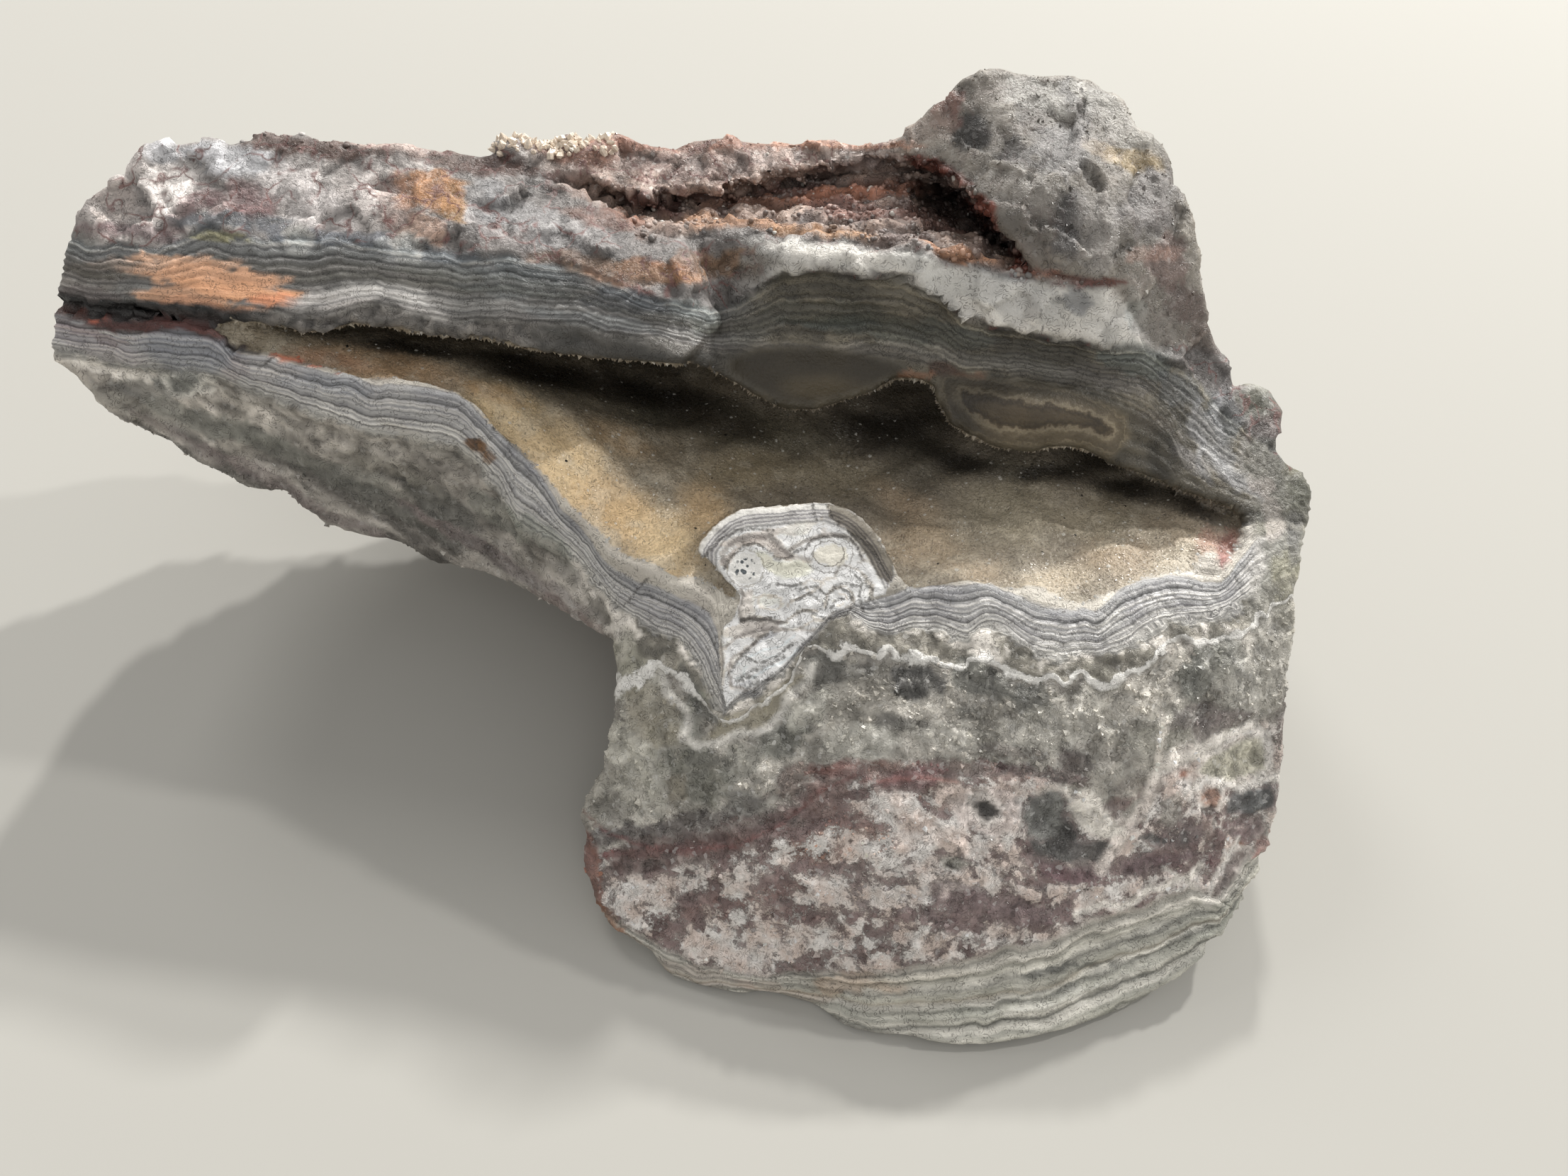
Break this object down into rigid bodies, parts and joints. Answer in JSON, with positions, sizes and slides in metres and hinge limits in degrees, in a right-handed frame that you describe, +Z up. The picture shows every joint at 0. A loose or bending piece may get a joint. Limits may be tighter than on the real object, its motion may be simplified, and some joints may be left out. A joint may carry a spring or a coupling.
{
  "type": "crazy lace agate specimen",
  "caption": "Broken piece of banded agate with a druse-lined slot across its face, a long overhanging arm, a rusty fissure and a blunt horn; rests on its worn underside.",
  "frame": {"origin": "middle of the stone's outline on the plane it rests on", "axes": "+Z up, +X to the right along the slot and the arm, broken face towards -Y and up"},
  "size_m": [0.1574, 0.1074, 0.0716],
  "materials": {
    "agate": "broken agate: waxy banded chalcedony, granular quartz and sparkling tan druse, unpolished"
  },
  "bodies": {
    "root": {"agate_stone": "agate"}
  },
  "joints": []
}
